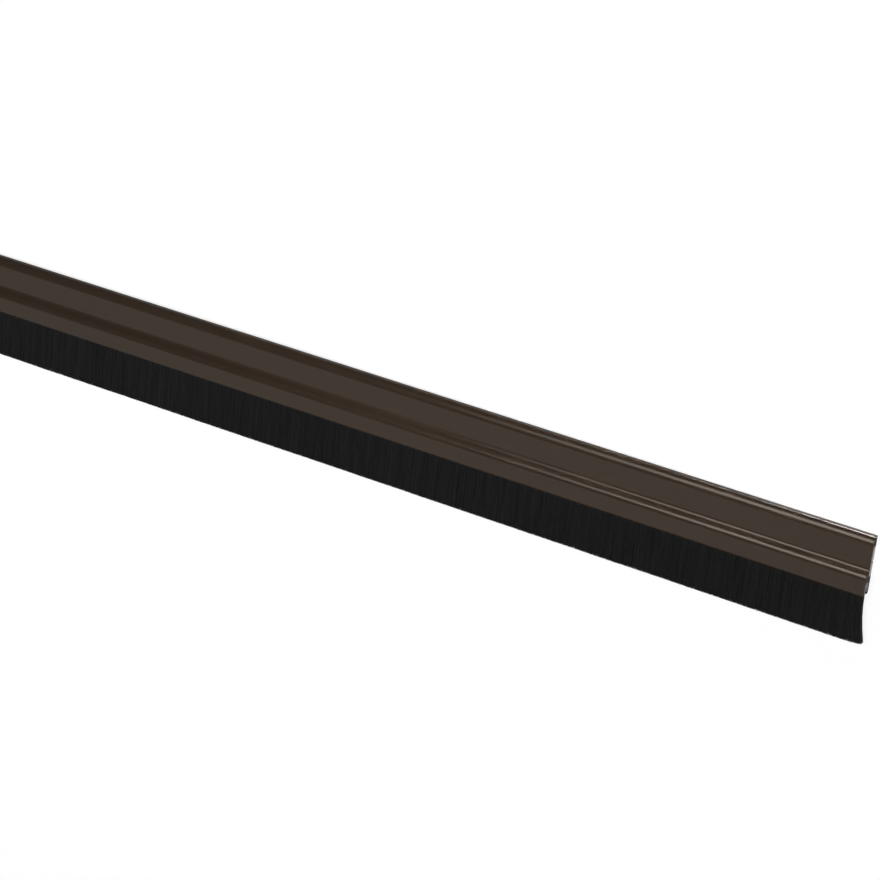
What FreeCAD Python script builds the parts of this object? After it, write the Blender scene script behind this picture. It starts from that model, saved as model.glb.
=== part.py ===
import FreeCAD, Part
import math
import os
import Sketcher

# A brush seal strip for the foot of a door, as one metre of stock.
# It lies on its back: X runs along the length, Y across it towards the top edge, and Z
# through its thickness, with the face that shows on a door turned up.
# The origin is the middle of the strip, on the plane that its back lies on.

doc = FreeCAD.newDocument("brush_seal_strip")

# Driving dimensions in millimetres
sheet = doc.addObject("Spreadsheet::Sheet", "Sizes")
driving = [
    ("strip_length", 1000.0),
    # bands of the carrier's face, from its top edge down to its lips
    ("shoulder_height", 4.05),
    ("upper_face_height", 11.2),
    ("step_height", 2.3),
    ("lower_face_height", 9.45),
    # flange: how far its face stands forward, and how far its shoulder falls back
    ("upper_face_depth", 3.7),
    ("shoulder_drop", 1.7),
    # walls of the extrusion
    ("flange_wall", 1.3),
    ("channel_wall", 1.15),
    ("channel_roof", 2.4),
    ("lip_height", 1.1),
    # rounded edges of the extrusion
    ("nose_radius", 1.0),
    ("hollow_radius", 3.0),
    ("step_radius", 4.7),
    ("lip_radius", 0.7),
    ("heel_radius", 1.0),
    ("back_radius", 0.3),
    # two strips of foam tape in the back, each under its paper liner
    ("tape_width", 6.5),
    ("tape_split", 0.7),
    ("tape_clearance", 0.2),
    ("liner_thickness", 0.12),
    # brush: bristles folded round a wire and crimped in a steel spine
    ("wire_diameter", 0.8),
    ("wire_clearance", 0.05),
    ("fold_layer", 0.55),
    ("bristle_clearance", 0.1),
    ("bristle_root", 1.7),
    ("spine_sheet", 0.5),
    ("spine_bend", 0.9),
    ("spine_height", 4.4),
    ("spine_clearance", 0.15),
    ("slot_clearance", 0.3),
    # bristles below the lips: their length, and how far they fan out at the tips
    ("bristle_drop", 23.0),
    ("bristle_spread", 2.8),
    ("end_splay", 2.4),
]

# Levels are measured up the strip from the bristles' tips, and depths forward from its back.
# The brush sets the width of the channel, and the tapes set the height of the recess.
derived = [
    ("lip_level", "bristle_drop"),
    ("step_foot", "lip_level + lower_face_height"),
    ("step_head", "step_foot + step_height"),
    ("shoulder_foot", "step_head + upper_face_height"),
    ("top_level", "shoulder_foot + shoulder_height"),
    ("half_height", "top_level / 2"),
    ("nose_depth", "upper_face_depth - shoulder_drop"),
    ("fold_bore", "wire_diameter / 2 + wire_clearance"),
    ("fold_radius", "fold_bore + fold_layer"),
    ("hollow_half", "fold_radius + bristle_clearance"),
    ("brush_depth", "channel_wall + spine_clearance + spine_sheet + hollow_half"),
    ("hollow_back", "brush_depth - hollow_half"),
    ("hollow_front", "brush_depth + hollow_half"),
    ("spine_back", "hollow_back - spine_sheet"),
    ("spine_front", "hollow_front + spine_sheet"),
    ("cavity_front", "spine_front + spine_clearance"),
    ("lower_face_depth", "cavity_front + channel_wall"),
    ("lip_head", "lip_level + lip_height"),
    ("spine_foot", "lip_head + spine_clearance"),
    ("spine_head", "spine_foot + spine_height"),
    ("spine_roof", "spine_head - spine_sheet"),
    ("spine_inner_bend", "spine_bend - spine_sheet"),
    ("cavity_head", "spine_head + spine_clearance"),
    ("channel_head", "cavity_head + channel_roof"),
    ("recess_depth", "upper_face_depth - flange_wall"),
    ("recess_head", "channel_head + 2 * tape_width + tape_split + 2 * tape_clearance"),
    ("lower_tape_foot", "channel_head + tape_clearance"),
    ("upper_tape_foot", "lower_tape_foot + tape_width + tape_split"),
    ("tape_thickness", "recess_depth - liner_thickness"),
    ("fold_level", "spine_roof - bristle_clearance - fold_radius"),
    ("fold_back", "brush_depth - fold_radius"),
    ("fold_front", "brush_depth + fold_radius"),
    ("root_back", "brush_depth - bristle_root / 2"),
    ("root_front", "brush_depth + bristle_root / 2"),
    ("crimp_inner_back", "root_back - bristle_clearance"),
    ("crimp_inner_front", "root_front + bristle_clearance"),
    ("crimp_back", "crimp_inner_back - spine_sheet"),
    ("crimp_front", "crimp_inner_front + spine_sheet"),
    ("slot_back", "root_back - slot_clearance"),
    ("slot_front", "root_front + slot_clearance"),
    ("tip_back", "brush_depth - bristle_spread / 2"),
    ("tip_front", "brush_depth + bristle_spread / 2"),
    ("half_length", "strip_length / 2"),
    ("splay_end", "half_length + end_splay"),
    ("splayed_length", "2 * splay_end"),
    ("past_the_end", "splay_end + end_splay"),
]
for row, (alias, value) in enumerate(driving + derived, start=1):
    sheet.set("A%d" % row, alias)
    sheet.set("B%d" % row, "=" + value if isinstance(value, str) else str(value))
    sheet.setAlias("B%d" % row, alias)
doc.recompute()


def size(alias):
    """The number that a cell holds, or nought where a corner names no cell."""
    return float(sheet.get(alias)) if alias else 0.0


def add_piece(name):
    """A body for one piece, its section measured up from the bristles' tips."""
    body = doc.addObject("PartDesign::Body", name)
    body.Label = name
    body.setExpression("Placement.Base.y", "-Sizes.half_height")
    return body


def hold_point(sketch, edge, end, place):
    """Holds a point of an edge at the two named sizes, or on an axis where one is None."""
    for kind, alias, axis in (("DistanceX", place[0], -2), ("DistanceY", place[1], -1)):
        if alias is None:
            sketch.addConstraint(Sketcher.Constraint("PointOnObject", edge, end, axis))
            continue
        index = sketch.addConstraint(Sketcher.Constraint(kind, -1, 1, edge, end, size(alias)))
        sketch.setExpression("Constraints[%d]" % index, "Sizes." + alias)


def arc_between(start, finish, across, level):
    """An arc that turns counterclockwise, its centre held one way by a named size.

    The other way the centre is where it lies equally far from both ends.
    """
    if level is None:
        centre_x = size(across)
        rise = (finish.x - centre_x) ** 2 - (start.x - centre_x) ** 2
        centre_y = (rise + finish.y ** 2 - start.y ** 2) / (2 * (finish.y - start.y))
    else:
        centre_y = size(level)
        rise = (finish.y - centre_y) ** 2 - (start.y - centre_y) ** 2
        centre_x = (rise + finish.x ** 2 - start.x ** 2) / (2 * (finish.x - start.x))
    centre = FreeCAD.Vector(centre_x, centre_y, 0)
    first = math.atan2(start.y - centre_y, start.x - centre_x)
    last = math.atan2(finish.y - centre_y, finish.x - centre_x)
    if last < first:
        last += 2 * math.pi
    circle = Part.Circle(centre, FreeCAD.Vector(0, 0, 1), start.distanceToPoint(centre))
    return Part.ArcOfCircle(circle, first, last)


def draw_outline(body, name, role, corners, arcs=None):
    """A closed outline on one of the body's planes, drawn counterclockwise.

    Each corner is a pair of names of sizes. An edge that starts at a corner in arcs is an
    arc, and the pair given there holds its centre one way and leaves the other free.
    """
    sketch = body.newObject("Sketcher::SketchObject", name)
    base_plane = next(item for item in body.Origin.OriginFeatures if item.Role == role)
    sketch.AttachmentSupport = (base_plane, "")
    sketch.MapMode = "FlatFace"
    arcs = arcs or {}
    points = [FreeCAD.Vector(size(first), size(second), 0) for first, second in corners]
    for index, start in enumerate(points):
        finish = points[(index + 1) % len(points)]
        if corners[index] in arcs:
            edge = arc_between(start, finish, *arcs[corners[index]])
        else:
            edge = Part.LineSegment(start, finish)
        sketch.addGeometry(edge, False)
    for index, corner in enumerate(corners):
        before = (index - 1) % len(corners)
        sketch.addConstraint(Sketcher.Constraint("Coincident", before, 2, index, 1))
        hold_point(sketch, index, 1, corner)
        if corner in arcs:
            across, level = arcs[corner]
            kind, alias = ("DistanceX", across) if level is None else ("DistanceY", level)
            held = sketch.addConstraint(
                Sketcher.Constraint(kind, -1, 1, index, 3, size(alias)))
            sketch.setExpression("Constraints[%d]" % held, "Sizes." + alias)
    return sketch


def extrude(body, sketch, length="strip_length"):
    """The section carried along the strip, half of its length each way."""
    pad = body.newObject("PartDesign::Pad", body.Name + "_length")
    pad.Profile = sketch
    pad.SideType = "Symmetric"
    pad.setExpression("Length", "Sizes." + length)
    doc.recompute()


def round_edges(body, name, radius, corners):
    """Rounds the long edges that run through the given corners of the section."""
    base = body.Tip
    found = []
    for number, edge in enumerate(base.Shape.Edges, start=1):
        box = edge.BoundBox
        if max(box.YLength, box.ZLength) > 1e-6:
            continue
        if any(math.hypot(box.YMin - size(level), box.ZMin - size(depth)) < 1e-4
               for level, depth in corners):
            found.append("Edge%d" % number)
    if len(found) != len(corners):
        raise RuntimeError("%s found %d edges of %d" % (name, len(found), len(corners)))
    rounding = body.newObject("PartDesign::Fillet", name)
    rounding.Base = (base, found)
    rounding.setExpression("Radius", "Sizes." + radius)
    doc.recompute()


# Carrier: one extrusion of rigid PVC with a flat back. Its flange has a rounded shoulder
# along the top edge and a shallow recess behind for the tapes. Its foot steps forward
# into a channel whose two lips keep the brush in.
carrier = add_piece("carrier_profile")
carrier_outline = [
    ("lip_level", None),
    ("channel_head", None),
    ("channel_head", "recess_depth"),
    ("recess_head", "recess_depth"),
    ("recess_head", None),
    ("top_level", None),
    ("top_level", "nose_depth"),
    ("shoulder_foot", "upper_face_depth"),
    ("step_head", "upper_face_depth"),
    ("step_foot", "lower_face_depth"),
    ("lip_level", "lower_face_depth"),
    ("lip_level", "slot_front"),
    ("lip_head", "slot_front"),
    ("lip_head", "cavity_front"),
    ("cavity_head", "cavity_front"),
    ("cavity_head", "channel_wall"),
    ("lip_head", "channel_wall"),
    ("lip_head", "slot_back"),
    ("lip_level", "slot_back"),
]
shoulder = {("top_level", "nose_depth"): ("shoulder_foot", None)}
extrude(carrier, draw_outline(carrier, "carrier_section", "YZ_Plane", carrier_outline, shoulder))
round_edges(carrier, "nose", "nose_radius", [("top_level", "nose_depth")])
round_edges(carrier, "step_hollow", "hollow_radius", [("step_head", "upper_face_depth")])
round_edges(carrier, "step_edge", "step_radius", [("step_foot", "lower_face_depth")])
round_edges(carrier, "lip_edge", "lip_radius", [("lip_level", "lower_face_depth")])
round_edges(carrier, "heel_edge", "heel_radius", [("lip_level", None)])
round_edges(carrier, "top_back_edge", "back_radius", [("top_level", None)])

# Spine: a strip of galvanised steel bent into a channel and crimped on the bristles,
# so its legs lean in towards their feet. It slides into the carrier from an end.
spine = add_piece("brush_spine")
spine_outline = [
    ("spine_foot", "crimp_back"),
    ("fold_level", "spine_back"),
    ("spine_head", "spine_back"),
    ("spine_head", "spine_front"),
    ("fold_level", "spine_front"),
    ("spine_foot", "crimp_front"),
    ("spine_foot", "crimp_inner_front"),
    ("fold_level", "hollow_front"),
    ("spine_roof", "hollow_front"),
    ("spine_roof", "hollow_back"),
    ("fold_level", "hollow_back"),
    ("spine_foot", "crimp_inner_back"),
]
extrude(spine, draw_outline(spine, "spine_section", "YZ_Plane", spine_outline))
round_edges(spine, "outer_bends", "spine_bend",
            [("spine_head", "spine_back"), ("spine_head", "spine_front")])
round_edges(spine, "inner_bends", "spine_inner_bend",
            [("spine_roof", "hollow_front"), ("spine_roof", "hollow_back")])

# Bristles: polypropylene filaments folded double over the wire, drawn as one pack.
# They leave the spine pressed together and spread a little towards their tips.
bristles = add_piece("bristles")
bristle_outline = [
    (None, "tip_back"),
    ("lip_level", "root_back"),
    ("spine_foot", "root_back"),
    ("fold_level", "fold_back"),
    ("fold_level", "fold_front"),
    ("spine_foot", "root_front"),
    ("lip_level", "root_front"),
    (None, "tip_front"),
]
fold = {("fold_level", "fold_back"): ("fold_level", None)}
bristle_section = draw_outline(bristles, "bristle_section", "YZ_Plane", bristle_outline, fold)
fold_centre = FreeCAD.Vector(size("fold_level"), size("brush_depth"), 0)
bore = bristle_section.addGeometry(
    Part.Circle(fold_centre, FreeCAD.Vector(0, 0, 1), size("fold_bore")), False)
hold_point(bristle_section, bore, 3, ("fold_level", "brush_depth"))
bore_radius = bristle_section.addConstraint(
    Sketcher.Constraint("Radius", bore, size("fold_bore")))
bristle_section.setExpression("Constraints[%d]" % bore_radius, "Sizes.fold_bore")
extrude(bristles, bristle_section, "splayed_length")

# The last bristles have no neighbours to lean on, so each end of the pack curves
# outwards below the lips. What lies past that curve is cut from the pack.
end_outline = [
    ("half_length", "lip_level"),
    ("splay_end", None),
    ("past_the_end", None),
    ("past_the_end", "top_level"),
    ("half_length", "top_level"),
]
splay = {("half_length", "lip_level"): (None, "lip_level")}
end_cut = bristles.newObject("PartDesign::Pocket", "end_cut")
end_cut.Profile = draw_outline(bristles, "end_outline", "XY_Plane", end_outline, splay)
end_cut.Type = "ThroughAll"
end_cut.SideType = "Symmetric"
doc.recompute()
other_end = bristles.newObject("PartDesign::Mirrored", "other_end")
other_end.Originals = [end_cut]
middle = next(item for item in bristles.Origin.OriginFeatures if item.Role == "YZ_Plane")
other_end.MirrorPlane = (middle, [""])
bristles.Tip = other_end

# Core wire: the straight steel wire that the bristles are folded over.
wire = doc.addObject("Part::Cylinder", "core_wire")
wire.Label = "core_wire"
wire.Placement.Rotation = FreeCAD.Rotation(FreeCAD.Vector(0, 1, 0), 90)
wire.setExpression("Radius", "Sizes.wire_diameter / 2")
wire.setExpression("Height", "Sizes.strip_length")
wire.setExpression("Placement.Base.x", "-Sizes.half_length")
wire.setExpression("Placement.Base.y", "Sizes.fold_level - Sizes.half_height")
wire.setExpression("Placement.Base.z", "Sizes.brush_depth")


def add_layer(name, foot, thickness, depth):
    """A flat layer as wide as a tape, from the given level up and the given depth forward."""
    layer = doc.addObject("Part::Box", name)
    layer.Label = name
    layer.setExpression("Length", "Sizes.strip_length")
    layer.setExpression("Width", "Sizes.tape_width")
    layer.setExpression("Height", "Sizes." + thickness)
    layer.setExpression("Placement.Base.x", "-Sizes.half_length")
    layer.setExpression("Placement.Base.y", "Sizes.%s - Sizes.half_height" % foot)
    layer.setExpression("Placement.Base.z", depth)
    return layer


# Tapes and liners: two strips of double-sided foam tape side by side in the recess, each
# with the waxed paper that covers its glue until the strip is put up.
layers = []
for side in ("lower", "upper"):
    foot = side + "_tape_foot"
    layers.append(add_layer("adhesive_tape_" + side, foot, "tape_thickness",
                            "Sizes.liner_thickness"))
    layers.append(add_layer("release_liner_" + side, foot, "liner_thickness", "0"))

doc.recompute()
pieces = [carrier, spine, bristles, wire] + layers
for item in doc.Objects:
    if "Invalid" in item.State or "Error" in item.State:
        raise RuntimeError("%s failed: %s" % (item.Label, item.State))
os.makedirs("parts", exist_ok=True)
for piece in pieces:
    if piece.Shape.isNull() or not piece.Shape.isValid():
        raise RuntimeError("%s has no valid shape" % piece.Label)
    piece.Shape.exportStep("parts/%s.step" % piece.Label)
    box = piece.Shape.BoundBox
    print("%-20s %8.1f mm3  x %7.2f  y %6.2f to %6.2f  z %5.2f to %5.2f" % (
        piece.Label, piece.Shape.Volume, box.XMax, box.YMin, box.YMax, box.ZMin, box.ZMax))
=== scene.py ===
import math

import bpy
import numpy as np
from mathutils import Matrix, Vector


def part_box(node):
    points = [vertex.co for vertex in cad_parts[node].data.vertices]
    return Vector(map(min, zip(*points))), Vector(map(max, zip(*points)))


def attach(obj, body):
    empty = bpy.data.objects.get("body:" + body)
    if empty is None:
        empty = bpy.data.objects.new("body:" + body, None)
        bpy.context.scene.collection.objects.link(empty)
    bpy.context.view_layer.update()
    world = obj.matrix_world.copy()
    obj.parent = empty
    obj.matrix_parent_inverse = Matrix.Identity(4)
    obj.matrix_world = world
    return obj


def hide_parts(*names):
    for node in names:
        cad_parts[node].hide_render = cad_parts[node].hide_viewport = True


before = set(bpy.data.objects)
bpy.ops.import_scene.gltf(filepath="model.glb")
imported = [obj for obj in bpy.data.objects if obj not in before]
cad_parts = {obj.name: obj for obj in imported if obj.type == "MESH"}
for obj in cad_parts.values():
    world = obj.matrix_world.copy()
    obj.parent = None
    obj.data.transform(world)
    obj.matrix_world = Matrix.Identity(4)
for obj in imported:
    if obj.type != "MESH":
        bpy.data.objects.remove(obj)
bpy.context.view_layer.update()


# Carrier profile: one extrusion of dark brown rigid PVC, coloured right through. It leaves
# the die with a satin skin, faint lines and haze, but dull along the top edge, which is
# rubbed bright again beside the ends. The sawn ends are dull and show the blade's marks.
mm = 0.001
carrier_low, carrier_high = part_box("carrier_profile")
half_length = carrier_high.x
pvc_brown = (0.0252, 0.0162, 0.0104, 1)
pvc_worn = (0.0350, 0.0243, 0.0160, 1)
pvc_ior = 1.54
dull_specular = 0.15
die_relief = 0.0006 * mm
blade_relief = 0.02 * mm
dragged_depth = 0.1 * mm
# shares of the way from the middle to a sawn end, between which the dull edge turns bright
rub_start = 0.88
rub_end = 0.935


class Shade:
    """One output of a material's nodes, for use in Python expressions.

    The operators add Math nodes. The node method adds any other node: its type, its
    settings, which are set first, and the values or links of its sockets.
    """

    def __init__(self, tree, socket=None):
        self.tree = tree
        self.socket = socket

    def node(self, kind, settings, sockets, output=0):
        made = self.tree.nodes.new("ShaderNode" + kind)
        for name, value in settings.items():
            if name == "stops":
                set_stops(made.color_ramp, value)
            else:
                setattr(made, name, value)
        for name, value in sockets.items():
            if isinstance(value, Shade):
                self.tree.links.new(value.socket, made.inputs[name])
            else:
                made.inputs[name].default_value = value
        return Shade(self.tree, made.outputs[output] if made.outputs else None)

    def calculate(self, operation, *values):
        return self.node("Math", {"operation": operation}, dict(enumerate(values)))

    def __add__(self, other):
        return self.calculate("ADD", self, other)

    def __sub__(self, other):
        return self.calculate("SUBTRACT", self, other)

    def __mul__(self, other):
        return self.calculate("MULTIPLY", self, other)

    def __rsub__(self, other):
        return self.calculate("SUBTRACT", other, self)

    def __gt__(self, other):
        return self.calculate("GREATER_THAN", self, other)

    __radd__ = __add__
    __rmul__ = __mul__


def set_stops(ramp, stops):
    """Gives a colour ramp its stops, each a place from 0 to 1 and a grey level."""
    while len(ramp.elements) < len(stops):
        ramp.elements.new(0.5)
    for element, (place, level) in zip(ramp.elements, stops):
        element.position = place
        element.color = (level, level, level, 1)


def new_material(name):
    """An empty material and the start of its nodes."""
    material = bpy.data.materials.new(name)
    material.use_nodes = True
    material.node_tree.nodes.clear()
    return material, Shade(material.node_tree)


def stretched(shade, size_x, size_y, size_z):
    """Object coordinates over a grain's size each way, so that one grain is one unit."""
    place = shade.node("TexCoord", {}, {}, "Object")
    return shade.node("Mapping", {}, {"Vector": place,
                                      "Scale": (1 / size_x, 1 / size_y, 1 / size_z)})


def grain(shade, sizes, detail=2.0):
    """Smooth noise from 0 to 1 whose grains have the given size each way."""
    return shade.node("TexNoise", {}, {"Vector": stretched(shade, *sizes), "Scale": 1.0,
                                       "Detail": detail}, "Fac")


def between(shade, first, second, share):
    """The colour that lies a share of the way from the first to the second."""
    return shade.node("Mix", {"data_type": "RGBA"}, {0: share, 6: first, 7: second}, 2)


def coordinate(shade, axis):
    """Where a point of the piece lies along X, Y or Z."""
    place = shade.node("TexCoord", {}, {}, "Object")
    return shade.node("SeparateXYZ", {}, {0: place}, axis)


def sawn_end(shade, half):
    """1 on the two faces where the stock is cut to length and 0 on the rest."""
    skin_depth = 0.02 * mm
    return shade.calculate("ABSOLUTE", coordinate(shade, "X")) > half - skin_depth


def skin(shade, sockets, height, relief):
    """A principled shader whose normal comes from a height of the given depth."""
    bump = shade.node("Bump", {}, {"Strength": 1.0, "Distance": relief, "Height": height})
    return shade.node("BsdfPrincipled", {}, {**sockets, "Normal": bump})


carrier_pvc, shade = new_material("carrier_pvc")
die_lines = grain(shade, (180 * mm, 0.35 * mm, 0.35 * mm), 3.0)
haze = grain(shade, (22 * mm, 9 * mm, 9 * mm), 3.0)
flecks = shade.node("ValToRGB", {"stops": [(0.66, 0), (0.74, 1)]},
                    {0: grain(shade, (1.6 * mm, 0.5 * mm, 0.5 * mm), 1.0)})
cut = sawn_end(shade, half_length)
dragged = coordinate(shade, "Y") > carrier_high.y - dragged_depth
outwards = shade.calculate("ABSOLUTE", coordinate(shade, "X")) * (1 / half_length)
rubbed = shade.node("ValToRGB", {"stops": [(rub_start, 0), (rub_end, 1)]}, {0: outwards})
blade_marks = grain(shade, (1.0, 0.22 * mm, 3.0 * mm), 2.0)
drawn = skin(shade, {
    "Base Color": between(shade, pvc_brown, pvc_worn,
                          0.35 * haze + 0.15 * die_lines + 0.10 * flecks),
    "Roughness": 0.13 + 0.04 * haze + 0.03 * die_lines,
    "IOR": pvc_ior,
}, die_lines, die_relief)
dull = skin(shade, {
    "Base Color": between(shade, pvc_brown, pvc_worn, 0.5 * haze + 0.5 * die_lines),
    "Roughness": 0.45 + 0.1 * haze,
    "IOR": pvc_ior,
    "Specular IOR Level": dull_specular,
}, die_lines, die_relief)
sawn = skin(shade, {
    "Base Color": between(shade, pvc_brown, pvc_worn, blade_marks),
    "Roughness": 0.65 + 0.2 * blade_marks,
    "IOR": pvc_ior,
    "Specular IOR Level": dull_specular,
}, blade_marks, blade_relief)
extruded = shade.node("MixShader", {}, {0: dragged * (1 - rubbed), 1: drawn, 2: dull})
shade.node("OutputMaterial", {},
           {"Surface": shade.node("MixShader", {}, {0: cut, 1: extruded, 2: sawn})})
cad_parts["carrier_profile"].data.materials[0] = carrier_pvc


# Brush spine: a strip of galvanised steel folded into a channel and crimped on the
# bristles, then slid into the carrier from one end. Only its cut ends show, with the
# dull grey zinc skin around a bare edge, which is painted darker than bare steel is,
# as painted shade on the end faces.
spangle_size = 3 * mm
zinc_grey = (0.34, 0.35, 0.36, 1)
# painted shade: the cut ends are made much darker than bare steel
painted_dark_cut_steel = (0.15, 0.148, 0.145, 1)
spine_steel, shade = new_material("galvanised_steel")
spangle = shade.node("TexVoronoi", {"feature": "F1"},
                     {"Vector": stretched(shade, spangle_size, spangle_size, spangle_size),
                      "Scale": 1.0}, "Color")
spangle_level = shade.node("SeparateColor", {}, {0: spangle}, 0)
scratches = grain(shade, (8 * mm, 0.12 * mm, 0.12 * mm), 2.0)
painted_dark_end = sawn_end(shade, half_length)
shade.node("OutputMaterial", {}, {"Surface": skin(shade, {
    "Base Color": between(shade, zinc_grey, painted_dark_cut_steel, 0.3 * spangle_level + 0.6 * painted_dark_end),
    "Metallic": 0.9,
    "Roughness": 0.30 + 0.18 * spangle_level + 0.08 * scratches,
}, scratches, 0.004 * mm)})
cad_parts["brush_spine"].data.materials[0] = spine_steel


# Core wire: the straight drawn steel wire that every filament is folded over. It runs
# inside the spine from end to end and shows as a bright dot where the strip is cut.
wire_dark = (0.42, 0.42, 0.43, 1)
wire_bright = (0.60, 0.60, 0.61, 1)
wire_steel, shade = new_material("drawn_wire")
draw_marks = grain(shade, (30 * mm, 0.05 * mm, 0.05 * mm), 2.0)
shade.node("OutputMaterial", {}, {"Surface": skin(shade, {
    "Base Color": between(shade, wire_dark, wire_bright, draw_marks),
    "Metallic": 1.0,
    "Roughness": 0.22 + 0.15 * draw_marks,
}, draw_marks, 0.002 * mm)})
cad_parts["core_wire"].data.materials[0] = wire_steel


# Bristles: black polypropylene filaments, folded double over the wire and held by the
# spine, then trimmed straight at the tips. Beside the cut ends the whole fold is made.
brush_low, brush_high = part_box("bristles")
wire_low, wire_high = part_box("core_wire")
wire_place = (wire_low + wire_high) / 2
lip_level = carrier_low.y
filament = 0.21 * mm
root_width = 1.7 * mm
row_count = 10
filament_pitch = 0.24 * mm
# errors of a filament's place, as shares of the pitch and of a row's width
place_error = 0.4
row_error = 0.25
# clumps along the strip, and how far they and single filaments lean
clump_count = 900
clump_lean = 0.07 * mm
strand_lean = 0.07 * mm
depth_lean = 0.05 * mm
# unevenness of the tips: long waves, clumps and single filaments
wave_count = 90
tip_wave = 0.14 * mm
clump_trim = 0.054 * mm
strand_trim = 0.066 * mm
# tones from 0, the darkest black, to 1
mean_tone = 0.30
clump_tint = 0.04
strand_tint = 0.08
# painted light: how much lighter each filament is made at its tip than at its root
tip_painted_light = 0.05
# pieces of the brush, and how its ends are made
stretch_count = 5
fold_reach = 2.5 * mm
mouth_rise = 1.4 * mm
end_inset = 0.4 * mm
last_x = half_length - end_inset - filament / 2
bend_reach = 30 * mm
straight_shares = np.array([1.0, 0.5, 0.0])
bent_shares = np.array([1.0, 0.75, 0.5, 0.25, 0.0])
seed = 4


def strand_lines(x, offset, lean, tip, shares, folded):
    """Points along each filament, from its tip up, as an array of strands by rings.

    With s the share of the way from the lips down to the tip, a filament stands at
    y = lips - s * drop. It moves outwards in depth from its root in proportion to
    s ** 1.3, leans along the strip in proportion to s, and near a cut end it also bends
    past the end by the splay times s ** 2.2, fading with the distance from that end.
    The more it bends there, the less far down its tip reaches. Above the lips it rises
    straight, and a folded one goes on to the wire and over it as a quarter turn.
    """
    splay = brush_high.x - filament / 2 - last_x
    fade = 7 * mm
    end_lift = 0.7 * mm
    bent = np.exp((np.abs(x) - last_x) / fade)
    outward = np.sign(x) * splay * bent
    s = shares[None, :]
    spread = (brush_high.z - brush_low.z - filament) / root_width
    drop = lip_level - tip - end_lift * bent ** 4
    line_x = x[:, None] + outward[:, None] * s ** 2.2 + lean[:, 0:1] * s
    line_y = lip_level - drop[:, None] * s
    line_z = wire_place.z + offset[:, None] * (1 + (spread - 1) * s ** 1.3)
    line_z = line_z + lean[:, 1:2] * s
    mouth_y = np.full((len(x), 1), lip_level + mouth_rise)
    mouth_z = wire_place.z + offset[:, None]
    parts = [(line_x, line_y, line_z), (x[:, None], mouth_y, mouth_z)]
    if folded:
        turn = np.radians([[0.0, 30.0, 60.0, 90.0]])
        bore = (wire_high.z - wire_low.z) / 2
        layer = (brush_high.y - wire_place.y) - bore
        radius = bore + layer * np.abs(offset) / (root_width / 2)
        fold_y = wire_place.y + radius[:, None] * np.sin(turn)
        fold_z = wire_place.z + np.sign(offset)[:, None] * radius[:, None] * np.cos(turn)
        parts.append((x[:, None] * np.ones_like(fold_y), fold_y, fold_z))
    return np.stack([np.concatenate(part, axis=1) for part in zip(*parts)], axis=2)


def tubes(lines, radius, start_angle):
    """Vertices and faces of a three-sided tube round each line.

    Each ring is a triangle in the plane across the line's own direction there, turned
    by the strand's start angle, so that no two strands glint alike. A triangle closes
    each end, and the one at the tip has corners of its own, so that the tube's shading
    doesn't bend to it.
    """
    count, rings, _ = lines.shape
    along = np.gradient(lines, axis=1)
    along /= np.linalg.norm(along, axis=2, keepdims=True)
    side = np.cross(along, np.array([1.0, 0.0, 0.0]))
    side /= np.linalg.norm(side, axis=2, keepdims=True)
    other = np.cross(along, side)
    sides = 3
    angle = start_angle[:, None] + np.arange(sides)[None, :] * 2 * math.pi / sides
    ring = (np.cos(angle)[:, None, :, None] * side[:, :, None, :]
            + np.sin(angle)[:, None, :, None] * other[:, :, None, :])
    points = lines[:, :, None, :] + radius * ring
    number = np.arange(count * rings * sides).reshape(count, rings, sides)
    ahead = np.roll(number, -1, axis=2)
    quads = np.stack([number[:, :-1], ahead[:, :-1], ahead[:, 1:], number[:, 1:]], axis=-1)
    tips = number.size + np.arange(count * sides).reshape(count, sides)[:, ::-1]
    corners = np.concatenate([points.reshape(-1, 3), points[:, 0].reshape(-1, 3)])
    return corners, quads.reshape(-1, 4), np.concatenate([tips, number[:, -1]])


def add_mesh(name, points, quads, triangles):
    """A mesh object from whole arrays of corners, four-sided faces and three-sided ones."""
    mesh = bpy.data.meshes.new(name)
    mesh.vertices.add(len(points))
    mesh.vertices.foreach_set("co", points.astype(np.float32).ravel())
    corners = np.concatenate([quads.ravel(), triangles.ravel()])
    starts = np.concatenate([np.arange(len(quads)) * 4,
                             4 * len(quads) + np.arange(len(triangles)) * 3])
    mesh.loops.add(len(corners))
    mesh.loops.foreach_set("vertex_index", corners.astype(np.int32))
    mesh.polygons.add(len(starts))
    mesh.polygons.foreach_set("loop_start", starts.astype(np.int32))
    mesh.polygons.foreach_set("use_smooth", np.arange(len(starts)) < len(quads))
    mesh.update(calc_edges=True)
    mesh.validate()
    piece = bpy.data.objects.new(name, mesh)
    bpy.context.scene.collection.objects.link(piece)
    return piece


darkest = (0.0028, 0.0028, 0.0030, 1)
lightest = (0.0088, 0.0086, 0.0086, 1)
filament_black, shade = new_material("black_filament")
# each filament's own tone, with painted light added towards its tip
strand_tone_and_tip_light = shade.node("Attribute", {"attribute_name": "strand"}, {}, "Fac")
scuff = grain(shade, (0.3 * mm, 4 * mm, 0.3 * mm), 2.0)
shade.node("OutputMaterial", {}, {"Surface": skin(shade, {
    "Base Color": between(shade, darkest, lightest, strand_tone_and_tip_light),
    "Roughness": 0.44 + 0.2 * scuff,
    "IOR": 1.49,
    "Specular IOR Level": 0.2,
}, scuff, 0.004 * mm)})

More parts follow.
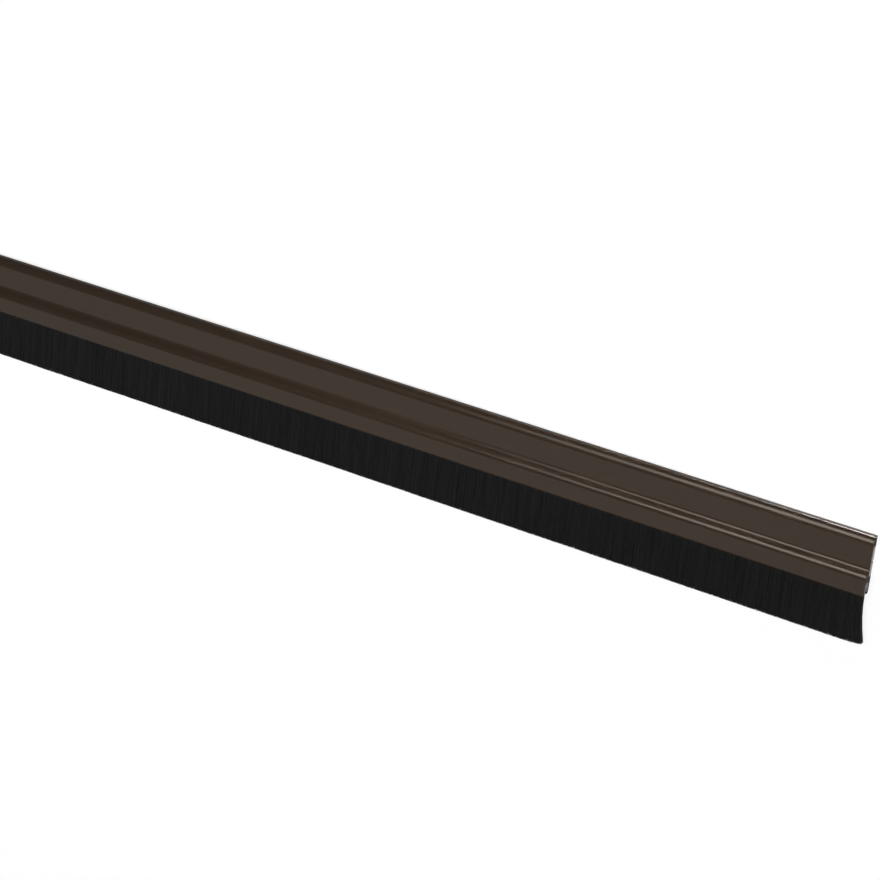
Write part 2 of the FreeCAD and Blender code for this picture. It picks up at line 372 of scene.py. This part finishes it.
rng = np.random.default_rng(seed)
per_row = int(2 * half_length / filament_pitch)
column = np.linspace(-last_x, last_x, per_row)
row_offset = (np.arange(row_count) + 0.5) / row_count * root_width - root_width / 2
x_all, offset_all = np.meshgrid(column, row_offset, indexing="ij")
x_all, offset_all = x_all.ravel(), offset_all.ravel()
strands = len(x_all)
x_all = np.clip(x_all + rng.uniform(-place_error, place_error, strands) * filament_pitch,
                -last_x, last_x)
offset_all = (offset_all
              + rng.uniform(-row_error, row_error, strands) * root_width / row_count)
knots = np.linspace(-half_length, half_length, clump_count)
clump = np.interp(x_all, knots, rng.normal(0, 1, len(knots)))
clump_tone = np.interp(x_all, knots + 0.3 * mm, rng.normal(0, 1, len(knots)))
lean_all = np.stack([clump_lean * clump + rng.normal(0, strand_lean, strands),
                     rng.normal(0, depth_lean, strands)], axis=1)
far_knots = np.linspace(-half_length, half_length, wave_count)
tip_all = (brush_low.y
           + tip_wave * np.interp(x_all, far_knots, rng.uniform(0, 1, len(far_knots)))
           + clump_trim * np.interp(x_all, knots, rng.uniform(0, 1, len(knots)))
           + rng.uniform(0, strand_trim, strands))
tone_all = mean_tone + clump_tint * clump_tone + rng.normal(0, strand_tint, strands)
angle_all = rng.uniform(0, 2 * math.pi, strands)
edges = np.linspace(-half_length, half_length, stretch_count + 1)
for stretch in range(stretch_count):
    inside = (x_all >= edges[stretch]) & (x_all <= edges[stretch + 1])
    at_end = inside & (np.abs(x_all) > half_length - fold_reach)
    bending = inside & ~at_end & (np.abs(x_all) > half_length - bend_reach)
    groups = []
    for chosen, shares, folded in ((inside & ~at_end & ~bending, straight_shares, False),
                                   (bending, bent_shares, False), (at_end, bent_shares, True)):
        if not chosen.any():
            continue
        lines = strand_lines(x_all[chosen], offset_all[chosen], lean_all[chosen],
                             tip_all[chosen], shares, folded)
        lines[..., 0] = np.clip(lines[..., 0], brush_low.x + filament / 2,
                                brush_high.x - filament / 2)
        lines[..., 2] = np.clip(lines[..., 2], brush_low.z + filament / 2,
                                brush_high.z - filament / 2)
        # painted light: the tone rises along each filament towards its tip
        painted_tip_light = np.zeros(lines.shape[1])
        painted_tip_light[:len(shares)] = tip_painted_light * shares
        tones = np.clip(tone_all[chosen][:, None] + painted_tip_light[None, :], 0, 1)
        groups.append((tubes(lines, filament / 2, angle_all[chosen]),
                       np.repeat(np.concatenate([tones.ravel(), tones[:, 0]]), 3)))
    shift = 0
    all_points, all_quads, all_ends, all_tones = [], [], [], []
    for (points, quads, ends), tones in groups:
        all_points.append(points)
        all_quads.append(quads + shift)
        all_ends.append(ends + shift)
        all_tones.append(tones)
        shift += len(points)
    piece = add_mesh("bristles_%d" % (stretch + 1), np.concatenate(all_points),
                     np.concatenate(all_quads), np.concatenate(all_ends))
    tones = piece.data.attributes.new("strand", "FLOAT", "POINT")
    tones.data.foreach_set("value", np.concatenate(all_tones).astype(np.float32))
    piece.data.materials.append(filament_black)
    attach(piece, "root")
    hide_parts("bristles")


# Adhesive tapes: two strips of light grey closed-cell foam, side by side in the recess
# of the carrier's back, with glue on both faces. Their cut ends show the fine cells.
cell_size = 0.22 * mm
foam_dark = (0.27, 0.27, 0.265, 1)
foam_light = (0.38, 0.38, 0.37, 1)
tape_foam, shade = new_material("grey_foam")
cells = shade.node("TexVoronoi", {"feature": "F1"},
                   {"Vector": stretched(shade, cell_size, cell_size, cell_size), "Scale": 1.0},
                   "Distance")
mottle = grain(shade, (2 * mm, 1 * mm, 1 * mm), 2.0)
shade.node("OutputMaterial", {}, {"Surface": skin(shade, {
    "Base Color": between(shade, foam_dark, foam_light, 0.5 * cells + 0.5 * mottle),
    "Roughness": 0.72 + 0.15 * cells,
}, cells, 0.05 * mm)})
for name in ("adhesive_tape_lower", "adhesive_tape_upper"):
    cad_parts[name].data.materials[0] = tape_foam


# Release liners: waxed paper over the glue of each tape, off-white, peeled away when the
# strip is put up. The paper's fibres show through the wax as a faint cloudiness.
paper_dark = (0.66, 0.65, 0.62, 1)
paper_light = (0.76, 0.75, 0.72, 1)
liner_paper, shade = new_material("waxed_paper")
fibres = grain(shade, (2.5 * mm, 0.4 * mm, 0.4 * mm), 4.0)
cloud = grain(shade, (6 * mm, 5 * mm, 5 * mm), 3.0)
shade.node("OutputMaterial", {}, {"Surface": skin(shade, {
    "Base Color": between(shade, paper_dark, paper_light, 0.5 * fibres + 0.5 * cloud),
    "Roughness": 0.32 + 0.12 * fibres,
}, fibres, 0.006 * mm)})
for name in ("release_liner_lower", "release_liner_upper"):
    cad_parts[name].data.materials[0] = liner_paper


# Camera: it looks down on the strip from beyond its top edge and towards the cut end,
# through a long lens, with the top edge up in the picture.
camera_place = Vector((0.82529, 0.52558, 1.01498))
camera_aim = Vector((0.29265, 0.00516, 0.0031))
camera_roll = math.radians(5.854)
camera_lens = 114.55


def facing(place, aim, up):
    """The placing of a lamp or camera that looks from place to aim, with up upwards."""
    ahead = (aim - place).normalized()
    right = ahead.cross(up).normalized()
    turn = Matrix((right, right.cross(ahead), -ahead)).transposed().to_4x4()
    return Matrix.Translation(place) @ turn


camera = bpy.data.objects.new("camera", bpy.data.cameras.new("camera"))
camera.data.lens = camera_lens
camera.data.clip_start = 0.01
camera.matrix_world = (facing(camera_place, camera_aim, Vector((0, 1, 0)))
                       @ Matrix.Rotation(camera_roll, 4, "Z"))
bpy.context.scene.collection.objects.link(camera)
bpy.context.scene.camera = camera
bpy.context.scene.view_settings.view_transform = "Standard"


# Floor: plain, pale and matt, lit like the strip. What the eye and mirrors see of it is
# lifted to white with part of the strip's shadow left in it, and the rest stays as it is.
floor_half = 40.0
floor_gap = 0.1 * mm
floor_grey = (0.6, 0.6, 0.6, 1)
shadowed_grey = (0.4, 0.4, 0.4, 1)
glow_white = (0.985, 0.993, 1, 1)
glow_strength = 0.58
floor_mesh = bpy.data.meshes.new("floor")
floor_mesh.from_pydata([(side_x * floor_half, side_y * floor_half, -floor_gap)
                        for side_x, side_y in ((-1, -1), (1, -1), (1, 1), (-1, 1))],
                       [], [(0, 1, 2, 3)])
floor = bpy.data.objects.new("floor", floor_mesh)
bpy.context.scene.collection.objects.link(floor)
floor_paint, shade = new_material("floor_paint")
is_camera = shade.node("LightPath", {}, {}, "Is Camera Ray")
is_glossy = shade.node("LightPath", {}, {}, "Is Glossy Ray")
is_through = shade.node("LightPath", {}, {}, "Is Transmission Ray")
seen = shade.calculate("MAXIMUM", is_camera, shade.calculate("MAXIMUM", is_glossy, is_through))
matt = shade.node("BsdfDiffuse", {}, {"Color": floor_grey})
shadowed = shade.node("BsdfDiffuse", {}, {"Color": shadowed_grey})
glow = shade.node("Emission", {}, {"Color": glow_white, "Strength": glow_strength})
lifted = shade.node("AddShader", {}, {0: shadowed, 1: glow})
paint = shade.node("MixShader", {}, {0: seen, 1: matt, 2: lifted})
shade.node("OutputMaterial", {}, {"Surface": paint})
floor.data.materials.append(floor_paint)


# Studio: a broad soft key light, a dim panel that the flat faces mirror, a narrow strip
# of light for the lines along the rounded edges, and a low light behind the top edge,
# with a grid in front of it that keeps its beam on the strip's cut end.
warm_white = (1, 0.92, 0.83)
back_white = (1, 1, 0.99)
back_spread = math.radians(14)
key_place = Vector((0.5, -0.12, 0.85))
key_strength = 3.1
key_angle = math.radians(40)
world_strength = 0.075


def add_panel(name, place, aim, width, height, radiance):
    """A softbox: a rectangle that faces aim, its width along the strip's length."""
    lamp = bpy.data.lights.new(name, "AREA")
    lamp.shape = "RECTANGLE"
    lamp.size = width
    lamp.size_y = height
    lamp.energy = radiance * width * height * math.pi
    lamp.color = warm_white
    holder = bpy.data.objects.new(name, lamp)
    holder.matrix_world = facing(Vector(place), Vector(aim), Vector((0, 1, 0)))
    holder.visible_camera = False
    bpy.context.scene.collection.objects.link(holder)
    return lamp


strip_middle = (0.29, 0.01, 0.0)
add_panel("flat_face_panel", (-0.70, -0.82, 1.5), strip_middle, 1.7, 0.55, 0.41)
add_panel("edge_line_strip", (0.09, 0.46, 1.5), strip_middle, 0.44, 0.58, 3.9)
add_panel("edge_line_fade", (-0.2325, 0.46, 1.5), strip_middle, 0.205, 0.58, 2.0)
back_light = add_panel("back_light", (0.03, 2.2, 0.25), (0.50, 0.025, 0.0), 0.25, 0.46, 1.75)
back_light.spread = back_spread
back_light.color = back_white
key = bpy.data.lights.new("key", "SUN")
key.energy = key_strength
key.angle = key_angle
key_holder = bpy.data.objects.new("key", key)
key_holder.matrix_world = facing(key_place, Vector((0, 0, 0)), Vector((0, 1, 0)))
bpy.context.scene.collection.objects.link(key_holder)
world = bpy.data.worlds.new("studio")
world.use_nodes = True
background = world.node_tree.nodes["Background"]
background.inputs["Color"].default_value = (1, 1, 1, 1)
background.inputs["Strength"].default_value = world_strength
bpy.context.scene.world = world
